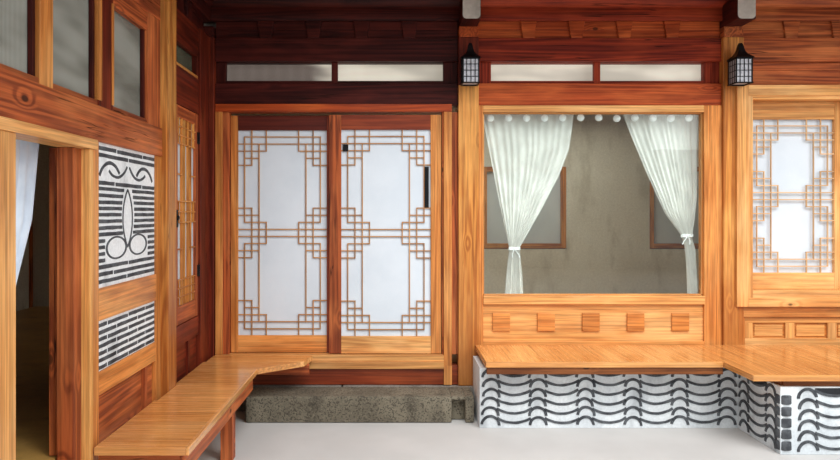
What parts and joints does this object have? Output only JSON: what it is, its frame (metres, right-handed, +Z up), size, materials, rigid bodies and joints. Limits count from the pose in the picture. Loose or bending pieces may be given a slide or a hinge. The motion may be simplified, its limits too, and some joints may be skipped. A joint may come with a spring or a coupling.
{
  "type": "hanok house",
  "caption": "L-shaped one-storey Korean timber house around a courtyard corner, with tiled roofs, lattice sliding doors, plank benches and patterned masonry.",
  "frame": {"origin": "on the ground under the middle of the roof's outline", "axes": "+X to the right along the main range's courtyard wall, +Y away from the courtyard, +Z up"},
  "size_m": [11.09, 7.9, 4.9843],
  "materials": {
    "stone": "rough grey-brown stone",
    "floor": "oiled floor covering over masonry",
    "post": "oiled pine, honey orange",
    "frame": "oiled pine, lighter joinery",
    "beam": "dark red-brown stained timber",
    "bench": "glossy amber planks",
    "paper": "white mulberry paper",
    "glass": "clear and ribbed glass",
    "iron": "black iron",
    "cloth": "sheer white cloth",
    "masonry": "white mortar with grey tile edges",
    "plaster": "lime plaster",
    "tile": "dark grey clay roof tiles"
  },
  "bodies": {
    "house": {"main_stone_base": "stone", "wing_stone_base": "stone", "door_step": "stone", "main_floor": "floor", "wing_floor": "floor", "corner_post": "post", "main_court_frame": "post", "wing_post": "post", "side_door_boards": "post", "side_door_head": "post", "wing_window_row": "post", "wing_panel_frame": "post", "door_bay_beams": "beam", "bearing_blocks": "beam", "main_roof_frame": "beam", "wing_roof_frame": "beam", "main_rafters": "beam", "wing_rafters": "beam", "outer_timber_frame": "beam", "door_sill": "frame", "door_left_jamb": "frame", "door_right_jamb": "frame", "picture_window_frame": "frame", "side_window_frame": "frame", "side_window_sashes": "frame", "doorway_near_jamb": "frame", "doorway_lintel": "frame", "doorway_threshold": "frame", "side_window_paper": "paper", "transom_glass": "glass", "picture_window_glass": "glass", "wing_glass": "glass", "side_transom_glass": "glass", "left_lantern": "iron", "right_lantern": "iron", "window_curtains": "cloth", "doorway_curtain": "cloth", "left_bench": "bench", "front_bench": "bench", "wing_masonry_panel": "masonry", "centre_tile_wall": "masonry", "right_tile_wall": "masonry", "main_back_wall": "plaster", "main_end_wall": "plaster", "wing_outer_wall": "plaster", "wing_end_wall": "plaster", "main_roof": "tile", "wing_roof": "tile", "roof_ridges": "tile"},
    "left_door": {"left_leaf": "frame", "left_leaf_paper": "paper"},
    "right_door": {"right_leaf": "frame", "right_leaf_paper": "paper", "door_pull": "iron"},
    "side_door": {"side_door_leaf": "post", "side_door_paper": "paper"},
    "wing_door": {"wing_leaf": "post"}
  },
  "joints": [
    {"name": "right_door_slide", "type": "slide", "parent": "house", "child": "right_door", "axis": [-1, 0, 0], "range_m": [0, 0.79]},
    {"name": "left_door_slide", "type": "slide", "parent": "house", "child": "left_door", "axis": [1, 0, 0], "range_m": [0, 0.79]},
    {"name": "side_door_hinge", "type": "hinge", "parent": "house", "child": "side_door", "pos_m": [-1.406, -0.4895, 0.81], "axis": [0, 0, 1], "range_deg": [0, 90]},
    {"name": "wing_door_slide", "type": "slide", "parent": "house", "child": "wing_door", "axis": [0, -1, 0], "range_m": [0, 0.62]}
  ]
}
